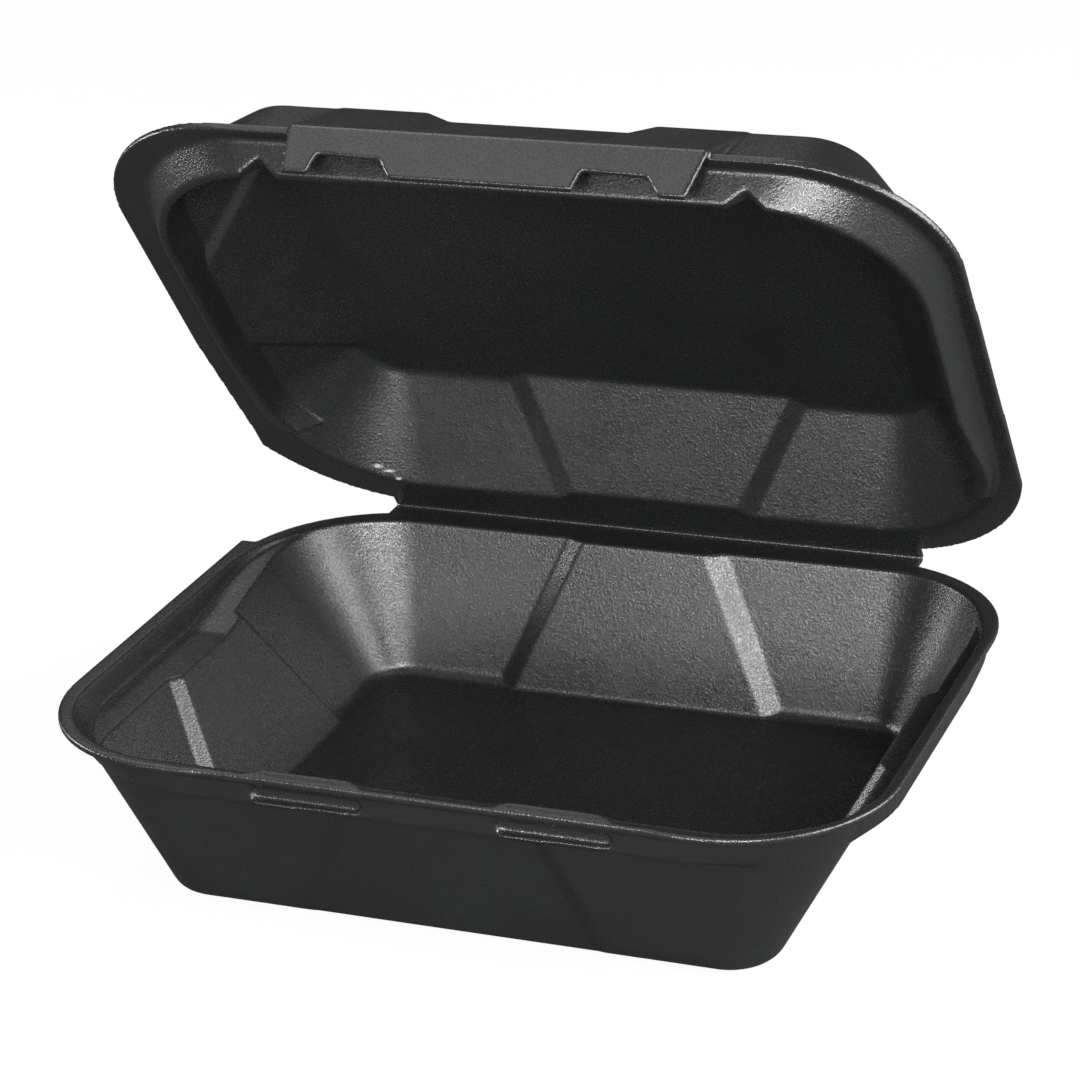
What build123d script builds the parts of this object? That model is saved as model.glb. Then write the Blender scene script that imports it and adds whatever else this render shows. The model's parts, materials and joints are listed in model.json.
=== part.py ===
"""Foam clamshell container: a tray and a lid pressed from one foam sheet, joined at a thin hinge strip.

Millimetres, +Z up, base on Z = 0, front toward -Y. X = 0 is the middle of the pressed body. The sheet
was trimmed a little off centre, so the flange is wider on the left than on the right.
The lid is modelled standing open, LID_OPEN degrees up from its closed place on the tray.
"""
import os
from math import cos, radians, sin, tan

from build123d import *

os.makedirs("parts", exist_ok=True)

# Sheet and trimmed outline
SHEET = 2.3
TRIM_LEFT = -122.9
TRIM_RIGHT = 117.6
TRIM_BACK_LEFT = -119.4
TRIM_STEP_Y = 58.5
FRONT_EDGE = -94.6
FRONT_MIDDLE = -93.7
MIDDLE_HALF = 61.5
BACK_EDGE = 93.6
FRONT_RADIUS = 44.0
BACK_RADIUS = 46.5

# Hinge
HINGE_Y = 97.4
HINGE_Z = 49.35
HINGE_LEFT = -87.0
HINGE_RIGHT = 83.3
HINGE_THICK = 1.0
PARTING = 0.15
CREASE_GAP = 0.2
LID_OPEN = 53.4

# Tray body, sizes of its inside
TRAY_RIM = HINGE_Z - PARTING
FLOOR_HALF_X = 85.5
FLOOR_HALF_Y = 75.0
FLOOR_CORNER = 12.0
RIM_FRONT_CORNER = 22.0
RIM_CORNER = 36.0
SIDE_SLOPE = 29.0
FRONT_SLOPE = 11.2
BACK_SLOPE = 13.0
FLOOR_FILLET = 4.0

# Shoulder: a ledge below the rim that climbs to the rim at the back corners
PRESS_X = -1.7
LEDGE_Z = 40.8
LEDGE_RISE_Y = 8.0
LEDGE_GONE_Y = 75.0
POCKET_HALF_X = 115.1
POCKET_FRONT = -89.6
POCKET_BACK = 84.0
POCKET_DRAFT = 0.9
POCKET_CORNER = 38.0
POCKET_LOW_CORNER = 47.0
POCKET_BACK_CORNER = 45.0
UNDERCUT = 3.0

# Raised panels on the walls
RAISE = 2.6
RAMP_WIDE = 6.2
RAMP_SIDE = 4.0
PANEL_RIM_HALF = 19.7
PANEL_FLOOR_HALF = 40.0
SIDE_RIM_HALF = 19.0
SIDE_FLOOR_HALF = 37.0
SIDE_PANEL_Y = -2.0

# Locking lugs on the tray's front
LUG_X = 35.0
LUG_OFFSET = 1.5
LUG_HALF = 12.0
LUG_TAPER = 5.0
LUG_RISE = 1.6
SLOT_DEPTH = 1.0
SLOT_LOW = 41.6
SLOT_HIGH = 45.6
LIP_OUT = 2.2
LIP_DOWN = 1.8

# Lid body, heights measured from the hinge plane, sizes of its inside
RIDGE_SIDE_ROOM = 5.9
RIDGE_FRONT_ROOM = 6.4
LID_TOP = 27.0
LID_TOP_HALF_X = 90.0
LID_TOP_FRONT = -70.0
LID_TOP_BACK = 57.0
LID_TOP_CORNER = 14.0
LID_KNEE = 6.0
LID_KNEE_HALF_X = POCKET_HALF_X - RIDGE_SIDE_ROOM
LID_KNEE_FRONT = POCKET_FRONT + RIDGE_FRONT_ROOM
LID_KNEE_BACK = 77.5
LID_KNEE_CORNER = 41.0
LID_TRIM_LEFT = -124.6
LID_TRIM_RIGHT = 119.9
LID_SKEW_LEFT = 3.1
LID_SKEW_RIGHT = 2.0
LID_FRONT_EDGE = -93.5
LID_BACK_EDGE = 94.7
LID_BACK_RADIUS = 49.0
LID_CUT_RADIUS = 60.0
LID_CUT_OUT = 11.0
LID_STEP_Y = 61.4
LID_BEND_Y = 13.4
LID_FILLET = 3.0
LID_PANEL_END = 2.5
LID_PANEL_FLANGE = 3.5
LID_SIDE_Y = -4.0
LID_SIDE_TOP_HALF = 46.0
LID_SIDE_RIM_HALF = 16.6
LID_BACK_X = 2.5
LID_BACK_TOP_HALF = 41.0
LID_BACK_RIM_HALF = 24.0
LID_FRONT_TOP_HALF = 27.0
LID_FRONT_RIM_HALF = 20.0

# Locating ridge under the lid's flange
RIDGE_DEEP = TRAY_RIM - LEDGE_Z - 0.4
RIDGE_TOP = 1.2
RIDGE_TOP_OUT = 6.9
RIDGE_TOP_CORNER = 40.0
RIDGE_CREST_OUT = 2.3
RIDGE_END_Y = 57.0
RIDGE_FADE = 6.0
RIDGE_GAP = 0.5
VEE_X = 69.0
VEE_HALF = 5.5
VEE_HIGH = 4.0

# Front block and skirt
BLOCK_X = PRESS_X
BLOCK_HALF = 59.0
SKIRT_DEEP = 13.5
SKIRT_TAPER = 2.4
SKIRT_FACE = -94.0
SKIRT_THICK = 1.7
CHANNEL_BACK = -90.3
CHANNEL_TOP = 2.0
BLOCK_FLOOR = 4.0
NOTCH_MIDDLE = 37.5
NOTCH_HALF = 11.9
NOTCH_HIGH = 6.3
NOTCH_STEEP = 1.0
NOTCH_SLANT = 4.5


def outline(plane, left, right, front, back, front_radius, back_radius):
    """A rectangle on a plane, with one radius at its front corners and one at its back corners."""
    with BuildSketch(plane) as area:
        with Locations(((left + right) / 2, (front + back) / 2)):
            Rectangle(right - left, back - front)
        fillet(area.vertices().group_by(Axis.Y)[0], front_radius)
        fillet(area.vertices().group_by(Axis.Y)[-1], back_radius)
    return area.sketch


def between(low, high):
    """A solid lofted from one outline to another."""
    with BuildPart() as body:
        add(low)
        add(high)
        loft(ruled=True)
    return body.part


def wall_plane(origin, outward, slope):
    """A plane lying on a sloping wall, its Z outward and its Y up the wall."""
    lean = radians(slope)
    out = Vector(*outward)
    up = out * sin(lean) + Vector(0, 0, cos(lean))
    normal = out * cos(lean) - Vector(0, 0, sin(lean))
    return Plane(origin=origin, x_dir=up.cross(normal), z_dir=normal)


def wedge(wall, low, high, half_low, half_high, out, ramp, reach=9.0, middle=0.0):
    """The space behind a raised panel: a trapezoid face with ramped sides, through the wall."""
    flare = ramp / RAISE * (RAISE + reach)
    with BuildPart() as space:
        for depth, spread in ((out - RAISE, 0), (out + reach, flare)):
            with BuildSketch(wall.offset(depth)):
                with BuildLine():
                    Polyline(
                        (middle - half_low - spread, low),
                        (middle + half_low + spread, low),
                        (middle + half_high + spread, high),
                        (middle - half_high - spread, high),
                        close=True,
                    )
                make_face()
        loft(ruled=True)
    return space.part


# Tray
def tub(grow, top):
    """The tray's tapered body, grown outward by a wall thickness."""
    def out(slope):
        return (1 - sin(radians(slope))) / cos(radians(slope)) * grow

    base = SHEET - grow
    rise = top - base
    low_x = FLOOR_HALF_X + out(SIDE_SLOPE)
    low_front = -FLOOR_HALF_Y - out(FRONT_SLOPE)
    low_back = FLOOR_HALF_Y + out(BACK_SLOPE)
    high_x = low_x + rise * tan(radians(SIDE_SLOPE))
    low_sketch = outline(Plane.XY.offset(base), -low_x, low_x, low_front, low_back,
                         FLOOR_CORNER + grow, FLOOR_CORNER + grow)
    high_sketch = outline(Plane.XY.offset(top), -high_x, high_x,
                          low_front - rise * tan(radians(FRONT_SLOPE)),
                          low_back + rise * tan(radians(BACK_SLOPE)),
                          RIM_FRONT_CORNER + grow, RIM_CORNER + grow)
    with BuildPart() as body:
        add(between(low_sketch, high_sketch))
        fillet(body.faces().sort_by(Axis.Z)[0].edges(), FLOOR_FILLET + grow * 0.8)
    return body.part


def tray_panels(out, ledge, side_over=0.0):
    """The spaces behind the tray's four wall panels."""
    front = wall_plane((0, -FLOOR_HALF_Y, SHEET), (0, -1, 0), FRONT_SLOPE)
    back = wall_plane((0, FLOOR_HALF_Y, SHEET), (0, 1, 0), BACK_SLOPE)
    left = wall_plane((-FLOOR_HALF_X, 0, SHEET), (-1, 0, 0), SIDE_SLOPE)
    right = wall_plane((FLOOR_HALF_X, 0, SHEET), (1, 0, 0), SIDE_SLOPE)
    drop = 12.0
    over = 60.0
    wide = (PANEL_FLOOR_HALF - PANEL_RIM_HALF) / (TRAY_RIM - SHEET)
    narrow = (SIDE_FLOOR_HALF - SIDE_RIM_HALF) / (TRAY_RIM - SHEET)
    spaces = [wedge(back, -drop, over, PANEL_FLOOR_HALF + drop * wide,
                    PANEL_FLOOR_HALF - over * wide, out, RAMP_WIDE)]
    high = (ledge - SHEET) / cos(radians(FRONT_SLOPE))
    spaces.append(wedge(front, -drop, high, PANEL_FLOOR_HALF + drop * wide,
                        PANEL_FLOOR_HALF - high * wide, out, RAMP_WIDE))
    high = (ledge + side_over - SHEET) / cos(radians(SIDE_SLOPE))
    for wall, middle in ((left, -SIDE_PANEL_Y), (right, SIDE_PANEL_Y)):
        spaces.append(wedge(wall, -drop, high, SIDE_FLOOR_HALF + drop * narrow,
                            SIDE_FLOOR_HALF - high * narrow, out, RAMP_SIDE, middle=middle))
    return spaces


def pocket_corner(height, grow):
    """The front corner radius of the pocket, wider toward its ledge."""
    part = (height - LEDGE_Z) / (TRAY_RIM - LEDGE_Z)
    return POCKET_LOW_CORNER + (POCKET_CORNER - POCKET_LOW_CORNER) * part + grow


def pocket(z_low, z_high, grow):
    """The upper, wider part of the tray, its walls grown outward by a thickness."""
    side = POCKET_HALF_X + grow
    draft = POCKET_DRAFT * (z_high - z_low) / (TRAY_RIM - LEDGE_Z)
    low, high = (
        outline(Plane.XY.offset(height), PRESS_X - side - wider, PRESS_X + side + wider,
                POCKET_FRONT - grow - wider, POCKET_BACK + grow + wider,
                pocket_corner(height, grow), POCKET_BACK_CORNER + grow)
        for height, wider in ((z_low, 0.0), (z_high, draft))
    )
    return between(low, high)


def under_ramp(z_front, z_back):
    """Everything below the ledge where it climbs toward the rim at the back."""
    climb = (z_back - z_front) / (LEDGE_GONE_Y - LEDGE_RISE_Y)
    far = BACK_EDGE + 30
    with BuildPart() as space:
        with BuildSketch(Plane.YZ):
            with BuildLine():
                Polyline(
                    (LEDGE_RISE_Y, z_front - 9),
                    (LEDGE_RISE_Y, z_front),
                    (far, z_front + climb * (far - LEDGE_RISE_Y)),
                    (far, z_front - 9),
                    close=True,
                )
            make_face()
        extrude(amount=20 - TRIM_LEFT, both=True)
    return space.part


def flange(plane, front, back, back_radius, step_y):
    """The trimmed outline of the tray's flange, wider on the left up to a squared step."""
    with BuildSketch(plane) as area:
        add(outline(Plane.XY, TRIM_BACK_LEFT, TRIM_RIGHT, front, back, FRONT_RADIUS, back_radius))
        with BuildSketch(mode=Mode.PRIVATE) as wide:
            with Locations((TRIM_LEFT / 2, (front + step_y) / 2)):
                Rectangle(-TRIM_LEFT, step_y - front)
            fillet(wide.vertices().group_by(Axis.Y)[0].sort_by(Axis.X)[0], FRONT_RADIUS)
        add(wide.sketch)
    return area.sketch


def lid_flange(front, back):
    """The trimmed outline of the lid's flange: a little askew, its back left corner cut off by a wide arc."""
    far_left = LID_TRIM_LEFT - LID_CUT_OUT
    with BuildSketch() as area:
        with Locations(((far_left + LID_TRIM_RIGHT) / 2, (front + back) / 2)):
            Rectangle(LID_TRIM_RIGHT - far_left, back - front)
        fillet(area.vertices().group_by(Axis.Y)[-1].sort_by(Axis.X)[0], LID_CUT_RADIUS)
        fillet(area.vertices().group_by(Axis.Y)[-1].sort_by(Axis.X)[-1], LID_BACK_RADIUS)
        with BuildSketch(mode=Mode.PRIVATE) as kept:
            with BuildLine():
                Polyline(
                    (LID_TRIM_LEFT - LID_SKEW_LEFT, front),
                    (LID_TRIM_RIGHT - LID_SKEW_RIGHT, front),
                    (LID_TRIM_RIGHT, back),
                    (LID_TRIM_RIGHT, back + 10),
                    (LID_TRIM_LEFT, back + 10),
                    (LID_TRIM_LEFT, LID_STEP_Y - HINGE_Y),
                    (LID_TRIM_LEFT - LID_SKEW_LEFT, LID_BEND_Y - HINGE_Y),
                    close=True,
                )
            make_face()
            fillet(kept.vertices().group_by(Axis.Y)[0], FRONT_RADIUS)
        add(kept.sketch, mode=Mode.INTERSECT)
    return area.sketch


with BuildPart() as tray:
    # outside of the body, its shoulder and the flange
    add(tub(SHEET, TRAY_RIM))
    for space in tray_panels(SHEET, LEDGE_Z - SHEET):
        add(space, mode=Mode.SUBTRACT)
    under = LEDGE_Z - SHEET - UNDERCUT / 2
    tub_side = FLOOR_HALF_X + (under - SHEET) * tan(radians(SIDE_SLOPE)) + 2.0
    tub_front = -FLOOR_HALF_Y - (under - SHEET) * tan(radians(FRONT_SLOPE)) - 1.8
    with BuildPart(mode=Mode.PRIVATE) as shelf:
        add(between(
            outline(Plane.XY.offset(under), -tub_side, tub_side, tub_front, POCKET_BACK - 4,
                    RIM_FRONT_CORNER, RIM_CORNER),
            outline(Plane.XY.offset(under + UNDERCUT), PRESS_X - POCKET_HALF_X - SHEET, PRESS_X + POCKET_HALF_X + SHEET,
                    POCKET_FRONT - SHEET, POCKET_BACK + SHEET, pocket_corner(under + UNDERCUT, SHEET),
                    POCKET_BACK_CORNER + SHEET),
        ))
        add(pocket(under + UNDERCUT, TRAY_RIM - 0.5, SHEET))
        add(under_ramp(under, TRAY_RIM - SHEET), mode=Mode.SUBTRACT)
    add(shelf.part)
    with BuildSketch(Plane.XY.offset(TRAY_RIM - SHEET)):
        add(flange(Plane.XY, FRONT_EDGE, BACK_EDGE, BACK_RADIUS, TRIM_STEP_Y))
        with BuildLine():
            Polyline(
                (-MIDDLE_HALF - 8, FRONT_EDGE),
                (-MIDDLE_HALF, FRONT_MIDDLE),
                (MIDDLE_HALF, FRONT_MIDDLE),
                (MIDDLE_HALF + 8, FRONT_EDGE),
                close=True,
            )
        make_face(mode=Mode.SUBTRACT)
    extrude(amount=SHEET)

    # inside of the body and the pocket above its ledge
    with BuildPart(mode=Mode.PRIVATE) as inside:
        add(tub(0.0, TRAY_RIM + 1))
        for space in tray_panels(0.0, LEDGE_Z, side_over=4.0):
            add(space, mode=Mode.SUBTRACT)
        with BuildPart(mode=Mode.PRIVATE) as mouth:
            add(pocket(LEDGE_Z, TRAY_RIM + 1, 0.0))
            add(under_ramp(LEDGE_Z, TRAY_RIM), mode=Mode.SUBTRACT)
        add(mouth.part)
    add(inside.part, mode=Mode.SUBTRACT)

    # locking lugs: a raised bead on the rim, a slot under it and a lip below
    for side in (-1, 1):
        middle = LUG_OFFSET + side * LUG_X
        crown = TRAY_RIM + LUG_RISE
        for turn in (-1, 1):
            with BuildPart(mode=Mode.PRIVATE) as bead:
                for run, scale in ((0.0, 1.0), (LUG_HALF, 1.0), (LUG_HALF + LUG_TAPER, 0.12)):
                    with BuildSketch(Plane.YZ.offset(middle + turn * run)):
                        with BuildLine():
                            Polyline(
                                (FRONT_MIDDLE + 3.0, TRAY_RIM - 0.6),
                                (FRONT_MIDDLE + 2.8, TRAY_RIM + LUG_RISE * scale * 0.8),
                                (FRONT_MIDDLE + 2.1, TRAY_RIM + LUG_RISE * scale),
                                (FRONT_MIDDLE + 1.3, TRAY_RIM + LUG_RISE * scale * 0.5),
                                (FRONT_MIDDLE + 0.1, TRAY_RIM - 1.2),
                                close=True,
                            )
                        make_face()
                loft(ruled=True)
            add(bead.part)
        with BuildSketch(Plane.XZ.offset(-POCKET_FRONT + SHEET - SLOT_DEPTH)):
            with Locations((middle, (SLOT_LOW + SLOT_HIGH) / 2)):
                SlotOverall(2 * (LUG_HALF + LUG_TAPER - 1), SLOT_HIGH - SLOT_LOW)
        extrude(amount=4.0, mode=Mode.SUBTRACT)
        with BuildPart(mode=Mode.PRIVATE) as lip:
            for run, scale in ((-LUG_HALF - 3, 1.0), (LUG_HALF + LUG_TAPER - 2, 0.35)):
                with BuildSketch(Plane.YZ.offset(middle + run)):
                    with BuildLine():
                        Polyline(
                            (POCKET_FRONT - SHEET / 2, SLOT_LOW + 0.1),
                            (POCKET_FRONT - SHEET - LIP_OUT * scale * 0.6, SLOT_LOW + 0.1),
                            (POCKET_FRONT - SHEET - LIP_OUT * scale * 0.75, SLOT_LOW - 0.5),
                            (POCKET_FRONT - SHEET / 2, SLOT_LOW - LIP_DOWN),
                            close=True,
                        )
                    make_face()
            loft(ruled=True)
        add(lip.part)

    # half of the hinge strip
    with BuildSketch(Plane.XY.offset(TRAY_RIM - HINGE_THICK)):
        with Locations(((HINGE_LEFT + HINGE_RIGHT) / 2, (BACK_EDGE - 1 + HINGE_Y - CREASE_GAP) / 2)):
            Rectangle(HINGE_RIGHT - HINGE_LEFT, HINGE_Y - CREASE_GAP - BACK_EDGE + 1)
    extrude(amount=HINGE_THICK)

tray.part.label = "tray"


# Lid, drawn on its own plane: X as the tray's, Y as the tray's when closed less HINGE_Y, Z out of the top
TILT = radians(LID_OPEN)
LID_PLANE = Plane(origin=(0, HINGE_Y, HINGE_Z), x_dir=(1, 0, 0), z_dir=(0, sin(TILT), cos(TILT)))
SLOPE_X = (LID_KNEE_HALF_X - LID_TOP_HALF_X) / (LID_TOP - SHEET - LID_KNEE)
SLOPE_FRONT = (LID_TOP_FRONT - LID_KNEE_FRONT) / (LID_TOP - SHEET - LID_KNEE)
SLOPE_BACK = (LID_KNEE_BACK - LID_TOP_BACK) / (LID_TOP - SHEET - LID_KNEE)
BLOCK_SLOPE = (LID_TOP_FRONT - SKIRT_FACE) / (LID_TOP - SHEET)
BLOCK_PLANE = Plane(origin=(BLOCK_X, HINGE_Y, HINGE_Z), x_dir=LID_PLANE.y_dir, z_dir=(1, 0, 0))


def lid_outline(height, half_x, front, back, front_radius, back_radius):
    """An outline on the lid's plane, given by the places it has when the lid is closed."""
    return outline(LID_PLANE.offset(height), PRESS_X - half_x, PRESS_X + half_x, front - HINGE_Y, back - HINGE_Y,
                   front_radius, back_radius)


def lid_shape(grow, low):
    """The lid's tapered body from a low height to its top, grown outward by a wall thickness."""
    top = LID_TOP - SHEET + grow

    def section(height, corner):
        down = LID_TOP - SHEET - height
        thick_x = grow * (1 + SLOPE_X ** 2) ** 0.5
        thick_front = grow * (1 + SLOPE_FRONT ** 2) ** 0.5
        thick_back = grow * (1 + SLOPE_BACK ** 2) ** 0.5
        return lid_outline(height, LID_TOP_HALF_X + down * SLOPE_X + thick_x,
                           LID_TOP_FRONT - down * SLOPE_FRONT - thick_front,
                           LID_TOP_BACK + down * SLOPE_BACK + thick_back, corner, corner)

    corner_low = LID_KNEE_CORNER + grow + (LID_KNEE - low) * 0.6
    with BuildPart() as body:
        add(between(section(low, corner_low), section(top, LID_TOP_CORNER + grow * 0.5)))
        fillet(body.faces().sort_by(Axis(LID_PLANE.origin, LID_PLANE.z_dir))[-1].edges(),
               LID_FILLET + grow * 0.8)
    return body.part


def lid_panel(outward, at, top_half, rim_half, slope, out_by, run, ramp):
    """The space behind one panel of the lid's inner wall."""
    across = LID_PLANE.x_dir * outward[0] + LID_PLANE.y_dir * outward[1]
    normal_up = LID_PLANE.z_dir
    lean = 1 / (1 + slope ** 2) ** 0.5
    normal = (across + normal_up * slope) * lean
    downward = (across * slope - normal_up) * lean
    start = LID_PLANE.from_local_coords(Vector(at[0], at[1] - HINGE_Y, LID_TOP - SHEET))
    wall = Plane(origin=start, x_dir=downward.cross(normal), z_dir=normal)
    lead = 12.0
    grow = (top_half - rim_half) / run
    return wedge(wall, -lead, run, top_half + lead * grow, rim_half, out_by, ramp)


def lid_panels(out_by):
    """The spaces behind the lid's four wall panels."""
    low = LID_PANEL_END
    back_low = LID_PANEL_FLANGE if out_by else -1.0
    short = 1.4 * out_by

    def run(slope, end):
        return (LID_TOP - SHEET - end) * (1 + slope ** 2) ** 0.5

    spaces = [
        lid_panel((0, 1), (LID_BACK_X, LID_TOP_BACK), LID_BACK_TOP_HALF, LID_BACK_RIM_HALF, SLOPE_BACK,
                  out_by, run(SLOPE_BACK, back_low), RAMP_WIDE),
        lid_panel((0, -1), (BLOCK_X, LID_TOP_FRONT), LID_FRONT_TOP_HALF, LID_FRONT_RIM_HALF, BLOCK_SLOPE,
                  out_by, run(BLOCK_SLOPE, low) - short, RAMP_WIDE),
    ]
    for side in (-1, 1):
        spaces.append(lid_panel((side, 0), (PRESS_X + side * LID_TOP_HALF_X, LID_SIDE_Y), LID_SIDE_TOP_HALF,
                                LID_SIDE_RIM_HALF, SLOPE_X, out_by, run(SLOPE_X, low) - short, RAMP_SIDE))
    return spaces


with BuildPart() as lid:
    # outside of the body and the flange
    add(lid_shape(SHEET, PARTING))
    with BuildSketch(LID_PLANE.offset(PARTING)):
        add(lid_flange(LID_FRONT_EDGE - HINGE_Y, LID_BACK_EDGE - HINGE_Y))
    extrude(amount=SHEET)

    # front block: it carries the wall's face out and down to the skirt
    face_out = SHEET * (1 + BLOCK_SLOPE ** 2) ** 0.5
    with BuildSketch(BLOCK_PLANE):
        with BuildLine():
            Polyline(
                (SKIRT_FACE - SKIRT_THICK - HINGE_Y, -SKIRT_DEEP),
                (SKIRT_FACE - SKIRT_THICK - HINGE_Y, (face_out - SKIRT_THICK) / BLOCK_SLOPE),
                (LID_TOP_FRONT + SHEET * BLOCK_SLOPE - face_out - HINGE_Y, LID_TOP),
                (LID_TOP_FRONT + 8 - HINGE_Y, LID_TOP),
                (LID_TOP_FRONT + 8 - HINGE_Y, LID_TOP - 6),
                (SKIRT_FACE + 3 - HINGE_Y, PARTING),
                (SKIRT_FACE - HINGE_Y, PARTING),
                (SKIRT_FACE - HINGE_Y, -SKIRT_DEEP),
                close=True,
            )
        make_face()
    extrude(amount=BLOCK_HALF, both=True)
    for side in (-1, 1):
        with BuildSketch(Plane(origin=BLOCK_PLANE.origin, x_dir=(1, 0, 0), z_dir=-LID_PLANE.y_dir)
                         .offset(HINGE_Y - SKIRT_FACE - 1)):
            with BuildLine():
                Polyline(
                    (side * BLOCK_HALF, 0),
                    (side * (BLOCK_HALF - SKIRT_TAPER), -SKIRT_DEEP - 0.1),
                    (side * (BLOCK_HALF + 1), -SKIRT_DEEP - 0.1),
                    (side * (BLOCK_HALF + 1), 0),
                    close=True,
                )
            make_face()
        extrude(amount=SKIRT_THICK + 2, mode=Mode.SUBTRACT)
    for space in lid_panels(SHEET):
        add(space, mode=Mode.SUBTRACT)

    # locating ridge, as deep as the tray's ledge and climbing with it toward the back corners
    with BuildPart(mode=Mode.PRIVATE) as ridge:
        ridge_back = POCKET_BACK - RIDGE_GAP
        ridge_corner = POCKET_BACK_CORNER - RIDGE_GAP
        add(between(
            lid_outline(-RIDGE_DEEP, LID_KNEE_HALF_X + RIDGE_CREST_OUT, LID_KNEE_FRONT - RIDGE_CREST_OUT,
                        ridge_back, LID_KNEE_CORNER + RIDGE_CREST_OUT, ridge_corner),
            lid_outline(RIDGE_TOP, LID_KNEE_HALF_X + RIDGE_TOP_OUT, LID_KNEE_FRONT - RIDGE_TOP_OUT,
                        ridge_back, RIDGE_TOP_CORNER, ridge_corner),
        ))
        root = LID_KNEE - RIDGE_TOP
        add(between(
            lid_outline(RIDGE_TOP, LID_KNEE_HALF_X + root * SLOPE_X + 0.4, LID_KNEE_FRONT - root * SLOPE_FRONT - 0.4,
                        ridge_back, LID_KNEE_CORNER + root * 0.6, ridge_corner),
            lid_outline(LID_KNEE, LID_KNEE_HALF_X + 0.4, LID_KNEE_FRONT - 0.4,
                        ridge_back, LID_KNEE_CORNER + 0.4, ridge_corner),
        ))
        climb = (TRAY_RIM - LEDGE_Z) / (LEDGE_GONE_Y - LEDGE_RISE_Y)
        with BuildSketch(BLOCK_PLANE):
            with BuildLine():
                Polyline(
                    (LEDGE_RISE_Y - HINGE_Y, -RIDGE_DEEP - 1),
                    (LEDGE_RISE_Y - HINGE_Y, -RIDGE_DEEP),
                    (RIDGE_END_Y - HINGE_Y, climb * (RIDGE_END_Y - LEDGE_RISE_Y) - RIDGE_DEEP),
                    (RIDGE_END_Y + RIDGE_FADE - HINGE_Y, LID_KNEE + 1),
                    (0, LID_KNEE + 1),
                    (0, -RIDGE_DEEP - 1),
                    close=True,
                )
            make_face()
        extrude(amount=-2 * TRIM_LEFT, both=True, mode=Mode.SUBTRACT)
        for side in (-1, 1):
            with BuildSketch(Plane(origin=BLOCK_PLANE.origin, x_dir=(1, 0, 0), z_dir=-LID_PLANE.y_dir)):
                with BuildLine():
                    Polyline(
                        (side * VEE_X - VEE_HALF, -RIDGE_DEEP - 0.1),
                        (side * VEE_X, -RIDGE_DEEP + VEE_HIGH),
                        (side * VEE_X + VEE_HALF, -RIDGE_DEEP - 0.1),
                        close=True,
                    )
                make_face()
        extrude(amount=3 * HINGE_Y, mode=Mode.SUBTRACT)
        with BuildSketch(LID_PLANE.offset(-RIDGE_DEEP - 1)):
            add(outline(Plane.XY, PRESS_X - LID_KNEE_HALF_X, PRESS_X + LID_KNEE_HALF_X, LID_KNEE_FRONT - HINGE_Y,
                        LID_KNEE_BACK - HINGE_Y, LID_KNEE_CORNER, ridge_corner - (ridge_back - LID_KNEE_BACK)))
        extrude(amount=RIDGE_DEEP + 2 + LID_KNEE, mode=Mode.SUBTRACT)

    # inside of the body
    with BuildPart(mode=Mode.PRIVATE) as hollow:
        add(lid_shape(0.0, -0.5))
        for space in lid_panels(0.0):
            add(space, mode=Mode.SUBTRACT)
    with BuildPart(mode=Mode.PRIVATE) as front_hollow:
        with BuildSketch(BLOCK_PLANE):
            with BuildLine():
                Polyline(
                    (LID_TOP_FRONT - (LID_TOP - SHEET - BLOCK_FLOOR) * BLOCK_SLOPE - HINGE_Y, BLOCK_FLOOR),
                    (LID_TOP_FRONT - HINGE_Y, LID_TOP - SHEET),
                    (LID_TOP_FRONT + 6 - HINGE_Y, LID_TOP - SHEET),
                    (LID_TOP_FRONT + 6 - HINGE_Y, BLOCK_FLOOR),
                    close=True,
                )
            make_face()
        extrude(amount=BLOCK_HALF - SHEET, both=True)
        for space in lid_panels(0.0)[1:2]:
            add(space, mode=Mode.SUBTRACT)
    with BuildPart(mode=Mode.PRIVATE) as channel:
        with BuildSketch(BLOCK_PLANE):
            with BuildLine():
                Polyline(
                    (SKIRT_FACE - HINGE_Y, -SKIRT_DEEP - 1),
                    (SKIRT_FACE - HINGE_Y, CHANNEL_TOP - 0.8),
                    (SKIRT_FACE + 0.8 - HINGE_Y, CHANNEL_TOP),
                    (CHANNEL_BACK - HINGE_Y, CHANNEL_TOP),
                    (CHANNEL_BACK - HINGE_Y, -SKIRT_DEEP - 1),
                    close=True,
                )
            make_face()
        extrude(amount=BLOCK_HALF - SHEET, both=True)
    add(channel.part, mode=Mode.SUBTRACT)
    add(front_hollow.part, mode=Mode.SUBTRACT)
    add(hollow.part, mode=Mode.SUBTRACT)
    add(ridge.part)

    # notches in the skirt's lower edge, steep on the left and slanted on the right
    for side in (-1, 1):
        with BuildSketch(Plane(origin=BLOCK_PLANE.origin, x_dir=(1, 0, 0), z_dir=-LID_PLANE.y_dir)
                         .offset(HINGE_Y - SKIRT_FACE - 1)):
            with BuildLine():
                Polyline(
                    (side * NOTCH_MIDDLE - NOTCH_HALF, -SKIRT_DEEP - 0.1),
                    (side * NOTCH_MIDDLE - NOTCH_HALF + NOTCH_STEEP, -SKIRT_DEEP + NOTCH_HIGH),
                    (side * NOTCH_MIDDLE + NOTCH_HALF - NOTCH_SLANT, -SKIRT_DEEP + NOTCH_HIGH - 0.5),
                    (side * NOTCH_MIDDLE + NOTCH_HALF, -SKIRT_DEEP - 0.1),
                    close=True,
                )
            make_face()
        extrude(amount=SKIRT_THICK + 2, mode=Mode.SUBTRACT)

    # half of the hinge strip
    with BuildSketch(LID_PLANE.offset(PARTING)):
        with Locations(((HINGE_LEFT + HINGE_RIGHT) / 2, (LID_BACK_EDGE - 1 - CREASE_GAP - HINGE_Y) / 2)):
            Rectangle(HINGE_RIGHT - HINGE_LEFT, HINGE_Y - LID_BACK_EDGE + 1 - CREASE_GAP)
    extrude(amount=HINGE_THICK)

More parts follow.
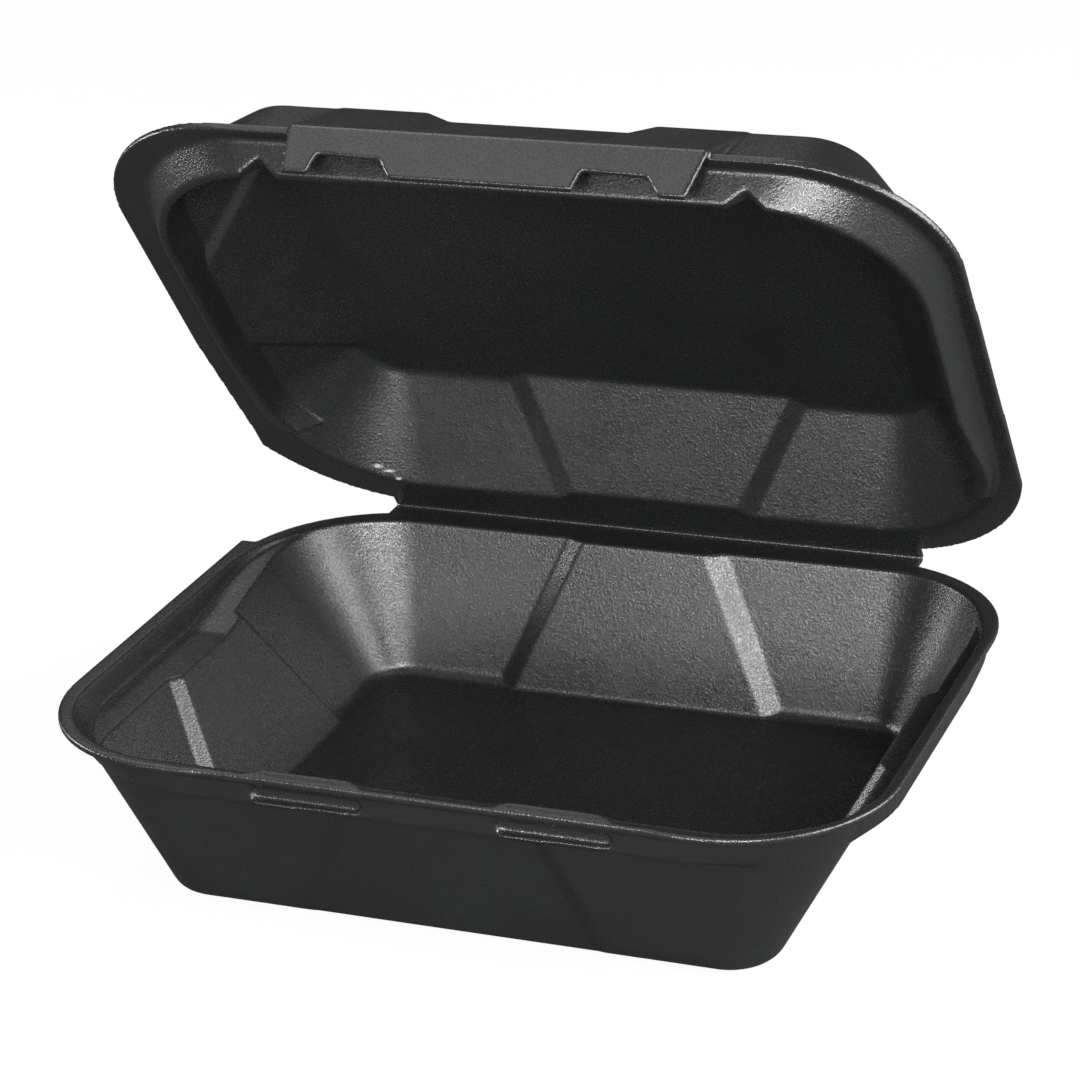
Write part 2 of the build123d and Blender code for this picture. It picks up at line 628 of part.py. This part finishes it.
lid.part.label = "lid"

export_step(tray.part, "parts/tray.step")
export_step(lid.part, "parts/lid.step")
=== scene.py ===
# %% [markdown]
# # A foam clamshell container
#
# The real object is one sheet of black foam, pressed hot between two moulds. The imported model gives
# its exact walls and its two moving bodies. This file gives the sheet its soft edges, its satin skin
# and its hinge web, and lights it like a product photograph.

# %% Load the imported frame
import json
import math

import bmesh
import bpy
from mathutils import Matrix, Vector


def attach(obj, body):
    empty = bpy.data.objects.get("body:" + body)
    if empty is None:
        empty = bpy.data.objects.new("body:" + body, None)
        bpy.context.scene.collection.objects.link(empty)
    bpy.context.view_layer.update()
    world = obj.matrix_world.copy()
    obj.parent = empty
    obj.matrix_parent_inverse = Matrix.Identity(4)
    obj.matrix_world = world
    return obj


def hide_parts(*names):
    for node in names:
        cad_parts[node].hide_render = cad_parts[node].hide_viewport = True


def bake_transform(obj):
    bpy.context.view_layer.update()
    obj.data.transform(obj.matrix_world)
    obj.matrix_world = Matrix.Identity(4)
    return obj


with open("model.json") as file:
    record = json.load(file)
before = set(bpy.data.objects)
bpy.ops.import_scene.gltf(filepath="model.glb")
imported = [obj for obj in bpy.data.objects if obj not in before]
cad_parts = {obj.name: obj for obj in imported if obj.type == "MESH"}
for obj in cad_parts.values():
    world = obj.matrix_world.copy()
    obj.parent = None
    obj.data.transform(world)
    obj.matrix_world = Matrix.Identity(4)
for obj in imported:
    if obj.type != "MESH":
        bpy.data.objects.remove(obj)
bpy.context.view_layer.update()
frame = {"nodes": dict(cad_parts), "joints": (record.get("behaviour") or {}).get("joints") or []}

# %% [markdown]
# ## Small helpers
#
# Each mesh below is made with bmesh operators, turned into an object, and has its modifiers applied,
# so that the finished piece is a plain mesh at the origin.

# %% Helpers
def new_object(name, data):
    item = bpy.data.objects.new(name, data)
    bpy.context.scene.collection.objects.link(item)
    return item


def object_from(shape, name):
    """A new object with the mesh that a bmesh holds. The bmesh is freed."""
    mesh = bpy.data.meshes.new(name)
    shape.to_mesh(mesh)
    shape.free()
    return new_object(name, mesh)


def apply_modifiers(piece):
    """Keep what the piece's modifiers make of its mesh, and remove them."""
    bpy.context.view_layer.update()
    evaluated = piece.evaluated_get(bpy.context.evaluated_depsgraph_get())
    baked = bpy.data.meshes.new_from_object(evaluated)
    piece.modifiers.clear()
    piece.data = baked


def shade_smooth(piece):
    for face in piece.data.polygons:
        face.use_smooth = True


def math_node(nodes, operation, factor=None):
    """A math node. The factor, where given, is its second value."""
    node = nodes.new("ShaderNodeMath")
    node.operation = operation
    if factor is not None:
        node.inputs[1].default_value = factor
    return node


def new_group(name, inputs, outputs):
    """An empty node group. The sockets come as pairs of a name and a kind: Vector, Float or Color."""
    group = bpy.data.node_groups.new(name, "ShaderNodeTree")
    for direction, sockets in (("INPUT", inputs), ("OUTPUT", outputs)):
        for socket, kind in sockets:
            group.interface.new_socket(socket, in_out=direction, socket_type="NodeSocket" + kind)
    return group


print("helpers ready")

# %% [markdown]
# ## The view
#
# The camera stands where the photographer's did, found by fitting a camera to the straight edges and
# round corners of the tray's rim. It looks down about 22 degrees from a little to the right.

# %% Camera
CAMERA_PLACE = Vector((0.33574, -0.84080, 0.45239))
CAMERA_FORWARD = Vector((-0.34390, 0.86041, -0.37607))
CAMERA_UP = Vector((-0.09709, 0.36577, 0.92563))
FOCAL_LENGTH = 116.85

camera_data = bpy.data.cameras.new("camera")
camera_data.lens = FOCAL_LENGTH
camera_data.sensor_width = 36.0
camera_data.sensor_fit = "HORIZONTAL"
camera_data.clip_start = 0.05
camera_data.clip_end = 20.0
camera = new_object("camera", camera_data)
back = -CAMERA_FORWARD.normalized()
right = CAMERA_UP.cross(back).normalized()
upward = back.cross(right)
camera.matrix_world = Matrix((
    (right.x, upward.x, back.x, CAMERA_PLACE.x),
    (right.y, upward.y, back.y, CAMERA_PLACE.y),
    (right.z, upward.z, back.z, CAMERA_PLACE.z),
    (0, 0, 0, 1),
))
bpy.context.scene.camera = camera
bpy.context.scene.view_settings.view_transform = "Standard"
print("camera at", tuple(round(c, 3) for c in CAMERA_PLACE))

# %% [markdown]
# ## The hinge line
#
# The lid turns about one straight crease. Its place and the lid's opening angle are read from the
# joint, so that everything below is measured along the lid's own slope.

# %% Hinge values
joint = frame["joints"][0]
hinge = Vector(joint["pos_m"])
OPENING = math.radians(-joint["range_deg"][0])
along_lid = Vector((0, -math.cos(OPENING), math.sin(OPENING)))
out_of_lid = Vector((0, math.sin(OPENING), math.cos(OPENING)))
print("lid stands open by", round(math.degrees(OPENING), 1), "degrees")

# %% [markdown]
# ## Soft foam edges
#
# A pressed foam sheet has no crisp corner: each bend has a small radius, and the cut edge is slightly
# rounded. Rebuilding the surface on a fine voxel grid and smoothing it rounds every edge by about the
# same small radius, as the foam's own stiffness does. A bevel modifier would fail on the many short
# edges where panels, ledge and corners meet.

# %% Copy and soften a pressed half
MERGE_REACH = 1e-6
VOXEL = 0.00052
SMOOTH_SHARE = 0.5
SMOOTH_ROUNDS = 7
# Each half is thinned to about this many triangles.
TRIANGLES = 190000


def pressed_half(name, node, cut_at, cut_normal):
    """A softened copy of a CAD node, without its half of the hinge strip."""
    shape = bmesh.new()
    shape.from_mesh(frame["nodes"][node].data)
    bmesh.ops.remove_doubles(shape, verts=shape.verts, dist=MERGE_REACH)
    everything = shape.verts[:] + shape.edges[:] + shape.faces[:]
    cut = bmesh.ops.bisect_plane(shape, geom=everything, plane_co=cut_at, plane_no=cut_normal,
                                 clear_outer=True)
    rim = [e for e in cut["geom_cut"] if isinstance(e, bmesh.types.BMEdge)]
    bmesh.ops.holes_fill(shape, edges=rim, sides=0)
    piece = object_from(shape, name)
    voxels = piece.modifiers.new("voxels", "REMESH")
    voxels.mode = "VOXEL"
    voxels.voxel_size = VOXEL
    voxels.use_smooth_shade = True
    soften = piece.modifiers.new("soften", "SMOOTH")
    soften.factor = SMOOTH_SHARE
    soften.iterations = SMOOTH_ROUNDS
    apply_modifiers(piece)
    faces = len(piece.data.polygons)
    if 2 * faces > TRIANGLES:
        thin = piece.modifiers.new("thin", "DECIMATE")
        thin.ratio = TRIANGLES / (2 * faces)
        apply_modifiers(piece)
    shade_smooth(piece)
    print(name, faces, "faces before thinning,", len(piece.data.polygons), "after")
    return piece


# %% [markdown]
# The hinge strip bends, so it is cut off each half here and gets a web of its own further down. The
# tray is cut at a depth of its own, the lid at a distance from the crease along its slope.

# %% Tray and lid
STRIP_START = 0.0938
LID_STRIP = 0.0026
tray = pressed_half("foam_tray", "tray", Vector((0, STRIP_START, 0)), Vector((0, 1, 0)))
lid = pressed_half("foam_lid", "lid", hinge + along_lid * LID_STRIP, -along_lid)

# %% [markdown]
# ## The hinge web
#
# Between the halves the sheet was pressed down to a thin strip, with a crease along its middle. It is
# one piece on the real object, so it is one piece here, running round the crease from rim to rim.

# %% Web across the crease
MILLIMETRE = 0.001
WEB_LEFT, WEB_RIGHT = -0.0870, 0.0833
WEB_THICK = 0.0009
WEB_COLUMNS = 120
# Distance from the crease and height over the strip's upper face, in millimetres. The rows near the
# crease make its fine bead.
WEB_PROFILE = ((7.6, -0.40), (6.4, -0.06), (5.6, 0.02), (4.6, 0.03), (3.4, 0.03), (2.2, 0.03),
               (1.3, 0.03), (0.75, 0.04), (0.48, 0.10), (0.32, 0.20), (0.18, 0.29), (0.06, 0.34))
# The strip's upper face lies this many millimetres under the hinge line.
STRIP_UNDER_LINE = 0.15


def hinge_web():
    """A thin strip from the tray's rim, round the crease with its fine bead, to the lid's rim."""
    # A unit grid: x runs along the crease, y from the tray's rim over the crease to the lid's.
    shape = bmesh.new()
    rows = 2 * len(WEB_PROFILE)
    bmesh.ops.create_grid(shape, x_segments=WEB_COLUMNS, y_segments=rows - 1, size=0.5)
    for vert in shape.verts:
        across = (vert.co.x + 0.5) * (WEB_RIGHT - WEB_LEFT) + WEB_LEFT
        row = round((vert.co.y + 0.5) * (rows - 1))
        on_tray = row < len(WEB_PROFILE)
        reach, height = WEB_PROFILE[row if on_tray else rows - 1 - row]
        drop = STRIP_UNDER_LINE - height
        if on_tray:
            vert.co = hinge + Vector((0, -reach, -drop)) * MILLIMETRE
        else:
            vert.co = hinge + (along_lid * reach + out_of_lid * drop) * MILLIMETRE
        vert.co.x = across
    piece = object_from(shape, "hinge_web")
    wall = piece.modifiers.new("wall", "SOLIDIFY")
    wall.thickness = WEB_THICK
    wall.offset = -1.0
    apply_modifiers(piece)
    shade_smooth(piece)
    return piece


web = hinge_web()
print("hinge web has", len(web.data.polygons), "faces")

# %% [markdown]
# ## The foam's skin
#
# The skin is charcoal black and satin. Close up it is finely mottled: pressed cells leave tiny hills
# and slightly glossier spots. One node group makes that grain, so that any part can use it at its own
# strength.

# %% Grain group
PATCH_SCALE = 45.0
PATCH_SHARE = 0.35
CELL_ROUGHNESS = 0.6
NOISE_DETAIL = 3.0
SPREAD_LOW, SPREAD_HIGH = 0.36, 0.64


def grain_group():
    """Fine cells mixed with wide patches, as a colour, a roughness and a height."""
    group = new_group(
        "foam_grain",
        (("Vector", "Vector"), ("Cell Scale", "Float"), ("Dark", "Color"), ("Light", "Color"),
         ("Smooth", "Float"), ("Rough", "Float")),
        (("Color", "Color"), ("Roughness", "Float"), ("Height", "Float")))
    nodes, links = group.nodes, group.links
    start = nodes.new("NodeGroupInput")
    end = nodes.new("NodeGroupOutput")
    cells = nodes.new("ShaderNodeTexNoise")
    cells.inputs["Detail"].default_value = NOISE_DETAIL
    cells.inputs["Roughness"].default_value = CELL_ROUGHNESS
    patches = nodes.new("ShaderNodeTexNoise")
    patches.inputs["Scale"].default_value = PATCH_SCALE
    patches.inputs["Detail"].default_value = NOISE_DETAIL
    links.new(start.outputs["Vector"], cells.inputs["Vector"])
    links.new(start.outputs["Cell Scale"], cells.inputs["Scale"])
    links.new(start.outputs["Vector"], patches.inputs["Vector"])
    both = math_node(nodes, "MULTIPLY_ADD", PATCH_SHARE)
    links.new(patches.outputs["Fac"], both.inputs[0])
    scaled = math_node(nodes, "MULTIPLY", 1 - PATCH_SHARE)
    links.new(cells.outputs["Fac"], scaled.inputs[0])
    links.new(scaled.outputs[0], both.inputs[2])
    spread = nodes.new("ShaderNodeMapRange")
    spread.inputs["From Min"].default_value = SPREAD_LOW
    spread.inputs["From Max"].default_value = SPREAD_HIGH
    links.new(both.outputs[0], spread.inputs["Value"])
    colour = nodes.new("ShaderNodeMix")
    colour.data_type = "RGBA"
    links.new(spread.outputs[0], colour.inputs["Factor"])
    links.new(start.outputs["Dark"], colour.inputs["A"])
    links.new(start.outputs["Light"], colour.inputs["B"])
    rough = nodes.new("ShaderNodeMix")
    rough.data_type = "FLOAT"
    links.new(spread.outputs[0], rough.inputs["Factor"])
    links.new(start.outputs["Rough"], rough.inputs["A"])
    links.new(start.outputs["Smooth"], rough.inputs["B"])
    links.new(colour.outputs["Result"], end.inputs["Color"])
    links.new(rough.outputs["Result"], end.inputs["Roughness"])
    links.new(cells.outputs["Fac"], end.inputs["Height"])
    return group


grain = grain_group()
print("grain group has", len(grain.nodes), "nodes")

# %% [markdown]
# The lid in the photograph has a few short pale scuffs low in its far left corner, where the skin is
# rubbed open. Each one is an ellipse on Object coordinates, broken up by noise. A painted image would
# do the same, but needs a file; three ellipses need none.

# %% Scuff group
TORN_SCALE = 2600.0
FRAYING = 1.6
SCUFF_RIM, SCUFF_CORE = 1.9, 1.1


def scuff_group():
    """The mask of one ellipse with a frayed outline. Narrowness is one over each half width."""
    group = new_group("rubbed_scuff",
                      (("Vector", "Vector"), ("Centre", "Vector"), ("Narrowness", "Vector")),
                      (("Mask", "Float"),))
    nodes, links = group.nodes, group.links
    start = nodes.new("NodeGroupInput")
    end = nodes.new("NodeGroupOutput")
    offset = nodes.new("ShaderNodeVectorMath")
    offset.operation = "SUBTRACT"
    links.new(start.outputs["Vector"], offset.inputs[0])
    links.new(start.outputs["Centre"], offset.inputs[1])
    squeezed = nodes.new("ShaderNodeVectorMath")
    squeezed.operation = "MULTIPLY"
    links.new(offset.outputs[0], squeezed.inputs[0])
    links.new(start.outputs["Narrowness"], squeezed.inputs[1])
    reach = nodes.new("ShaderNodeVectorMath")
    reach.operation = "LENGTH"
    links.new(squeezed.outputs[0], reach.inputs[0])
    torn = nodes.new("ShaderNodeTexNoise")
    torn.inputs["Scale"].default_value = TORN_SCALE
    links.new(start.outputs["Vector"], torn.inputs["Vector"])
    frayed = math_node(nodes, "MULTIPLY_ADD", FRAYING)
    links.new(torn.outputs["Fac"], frayed.inputs[0])
    links.new(reach.outputs["Value"], frayed.inputs[2])
    level = nodes.new("ShaderNodeMapRange")
    level.inputs["From Min"].default_value = SCUFF_RIM
    level.inputs["From Max"].default_value = SCUFF_CORE
    links.new(frayed.outputs[0], level.inputs["Value"])
    links.new(level.outputs[0], end.inputs["Mask"])
    return group


scuff = scuff_group()
print("scuff group has", len(scuff.nodes), "nodes")

# %% [markdown]
# The skin's colour stays dark, and most of what the eye sees on it is reflected light. So the
# shader's specular level and roughness matter more than its colour.

# %% Foam material
FOAM_DARK = (0.0088, 0.0096, 0.0094, 1)
FOAM_LIGHT = (0.0184, 0.0200, 0.0196, 1)
CELL_SCALE = 1500.0
GLOSSY_SPOTS, DULL_SPOTS = 0.17, 0.38
BUMP_STRENGTH = 0.5
BUMP_HEIGHT = 0.00030
SKIN_SPECULAR = 1.0
SCUFF_GREY = (0.52, 0.54, 0.54, 1)
SCUFFS = (((-0.0886, 0.0880, 0.0658), (620, 100, 1300)),
          ((-0.0851, 0.0886, 0.0642), (480, 100, 2000)),
          ((-0.0822, 0.0890, 0.0618), (900, 100, 1700)))


def foam_material(name, scuffs=()):
    """The mottled black skin, with a pale scuff at each pair of a centre and a narrowness."""
    material = bpy.data.materials.new(name)
    material.use_nodes = True
    nodes, links = material.node_tree.nodes, material.node_tree.links
    shader = nodes["Principled BSDF"]
    place = nodes.new("ShaderNodeTexCoord")
    skin = nodes.new("ShaderNodeGroup")
    skin.node_tree = grain
    skin.inputs["Dark"].default_value = FOAM_DARK
    skin.inputs["Light"].default_value = FOAM_LIGHT
    skin.inputs["Cell Scale"].default_value = CELL_SCALE
    skin.inputs["Smooth"].default_value = GLOSSY_SPOTS
    skin.inputs["Rough"].default_value = DULL_SPOTS
    hills = nodes.new("ShaderNodeBump")
    hills.inputs["Strength"].default_value = BUMP_STRENGTH
    hills.inputs["Distance"].default_value = BUMP_HEIGHT
    links.new(place.outputs["Object"], skin.inputs["Vector"])
    colour = skin.outputs["Color"]
    for centre, narrowness in scuffs:
        rubbed = nodes.new("ShaderNodeGroup")
        rubbed.node_tree = scuff
        rubbed.inputs["Centre"].default_value = centre
        rubbed.inputs["Narrowness"].default_value = narrowness
        links.new(place.outputs["Object"], rubbed.inputs["Vector"])
        paler = nodes.new("ShaderNodeMix")
        paler.data_type = "RGBA"
        paler.inputs["B"].default_value = SCUFF_GREY
        links.new(rubbed.outputs["Mask"], paler.inputs["Factor"])
        links.new(colour, paler.inputs["A"])
        colour = paler.outputs["Result"]
    links.new(colour, shader.inputs["Base Color"])
    links.new(skin.outputs["Roughness"], shader.inputs["Roughness"])
    links.new(skin.outputs["Height"], hills.inputs["Height"])
    links.new(hills.outputs["Normal"], shader.inputs["Normal"])
    shader.inputs["Specular IOR Level"].default_value = SKIN_SPECULAR
    return material


foam = foam_material("foam_skin")
scuffed_foam = foam_material("foam_skin_scuffed", SCUFFS)
for piece, body, node, skin in ((tray, "tray_body", "tray", foam),
                                (lid, "lid_body", "lid", scuffed_foam)):
    piece.data.materials.clear()
    piece.data.materials.append(skin)
    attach(piece, body)
    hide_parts(node)
web.data.materials.clear()
web.data.materials.append(foam)
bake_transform(web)
print("skin on", [piece.name for piece in (tray, lid, web)])

# %% [markdown]
# ## Floor and white room
#
# The photograph has a white room behind the object, but the foam does not mirror it. So the floor and
# the world are white where the camera sees them, and nearly dark where the foam mirrors them.

# %% World and floor
ROOM_IN_GLOSS = 0.03
ROOM_ON_FOAM = 0.03
FLOOR_HALF_SIZE = 6.0
FLOOR_DROP = 0.0002
FLOOR_GREY = (0.08, 0.08, 0.08, 1)
FLOOR_GLOW = 0.92
FLOOR_ROUGHNESS = 0.9
FLOOR_SPECULAR = 0.1
WHITE = (1, 1, 1, 1)


def white_world():
    """White to the camera and through clear pieces, dim in reflections and as even light."""
    world = bpy.data.worlds.new("white_room")
    bpy.context.scene.world = world
    world.use_nodes = True
    nodes, links = world.node_tree.nodes, world.node_tree.links
    sky = nodes["Background"]
    sky.inputs["Color"].default_value = WHITE
    path = nodes.new("ShaderNodeLightPath")
    seen = math_node(nodes, "MAXIMUM")
    links.new(path.outputs["Is Camera Ray"], seen.inputs[0])
    links.new(path.outputs["Is Transmission Ray"], seen.inputs[1])
    shine = math_node(nodes, "MULTIPLY_ADD", ROOM_IN_GLOSS)
    links.new(path.outputs["Is Glossy Ray"], shine.inputs[0])
    links.new(seen.outputs[0], shine.inputs[2])
    level = nodes.new("ShaderNodeMapRange")
    level.inputs["To Min"].default_value = ROOM_ON_FOAM
    level.inputs["To Max"].default_value = 1.0
    links.new(shine.outputs[0], level.inputs["Value"])
    links.new(level.outputs[0], sky.inputs["Strength"])


def white_floor():
    """A wide sheet just under the tray. It glows for the camera and still takes the shadow."""
    shape = bmesh.new()
    bmesh.ops.create_grid(shape, x_segments=1, y_segments=1, size=FLOOR_HALF_SIZE)
    floor = object_from(shape, "floor")
    floor.location.z = -FLOOR_DROP
    material = bpy.data.materials.new("floor_white")
    material.use_nodes = True
    nodes, links = material.node_tree.nodes, material.node_tree.links
    shader = nodes["Principled BSDF"]
    shader.inputs["Base Color"].default_value = FLOOR_GREY
    shader.inputs["Roughness"].default_value = FLOOR_ROUGHNESS
    shader.inputs["Specular IOR Level"].default_value = FLOOR_SPECULAR
    path = nodes.new("ShaderNodeLightPath")
    shine = math_node(nodes, "MULTIPLY_ADD", ROOM_IN_GLOSS)
    links.new(path.outputs["Is Glossy Ray"], shine.inputs[0])
    links.new(path.outputs["Is Camera Ray"], shine.inputs[2])
    lift = math_node(nodes, "MULTIPLY", FLOOR_GLOW)
    links.new(shine.outputs[0], lift.inputs[0])
    shader.inputs["Emission Color"].default_value = WHITE
    links.new(lift.outputs[0], shader.inputs["Emission Strength"])
    floor.data.materials.append(material)


white_world()
white_floor()
print("floor and world made")

# %% [markdown]
# ## Lights
#
# Black foam shows its form by what it mirrors, so each lamp is a soft box that stands where one group
# of faces mirrors it to the camera. The front box is seen in the tray's back wall, the lid box in the
# lid's back wall, the narrow corner box in the far left corner and the ramp box in the ramp that
# closes the back panel. The top box is seen in the skirt and the lugs' lips. The left box lights the
# far right corner, the right box the tray's left wall, and the back box the lid's outside.

# %% Area lights
LAMP_TARGET = Vector((0, 0, 0.08))
WATTS_FOR_WHITE = 4
# Name, azimuth (0 in front, 90 at the right), elevation, distance, width, height, glow.
SOFT_BOXES = (
    ("front_box", -14, 13, 1.7, 0.55, 0.50, 2.9),
    ("lid_box", -29, 42, 1.7, 0.60, 0.50, 0.35),
    ("corner_box", 1, 14, 1.5, 0.20, 0.35, 38),
    ("ramp_box", 26, 22, 1.6, 0.18, 0.38, 54),
    ("top_box", -70, 68, 1.8, 1.0, 1.0, 0.9),
    ("back_box", -147, 50, 1.8, 1.0, 0.8, 1.5),
    ("left_box", -88, 14, 1.7, 0.45, 0.55, 15),
    ("right_box", 94, 22, 1.5, 1.9, 1.1, 5.8),
)


def soft_box(name, azimuth, elevation, distance, width, height, glow):
    """A lamp aimed at the object's middle. A glow of 1 makes its face white."""
    turn, rise = math.radians(azimuth), math.radians(elevation)
    toward = Vector((math.sin(turn) * math.cos(rise), -math.cos(turn) * math.cos(rise),
                     math.sin(rise)))
    data = bpy.data.lights.new(name, "AREA")
    data.shape = "RECTANGLE"
    data.size = width
    data.size_y = height
    data.energy = WATTS_FOR_WHITE * width * height * glow
    lamp = new_object(name, data)
    lamp.location = LAMP_TARGET + toward * distance
    lamp.rotation_euler = toward.to_track_quat("Z", "Y").to_euler()


for box in SOFT_BOXES:
    soft_box(*box)
print(len(SOFT_BOXES), "soft boxes set")
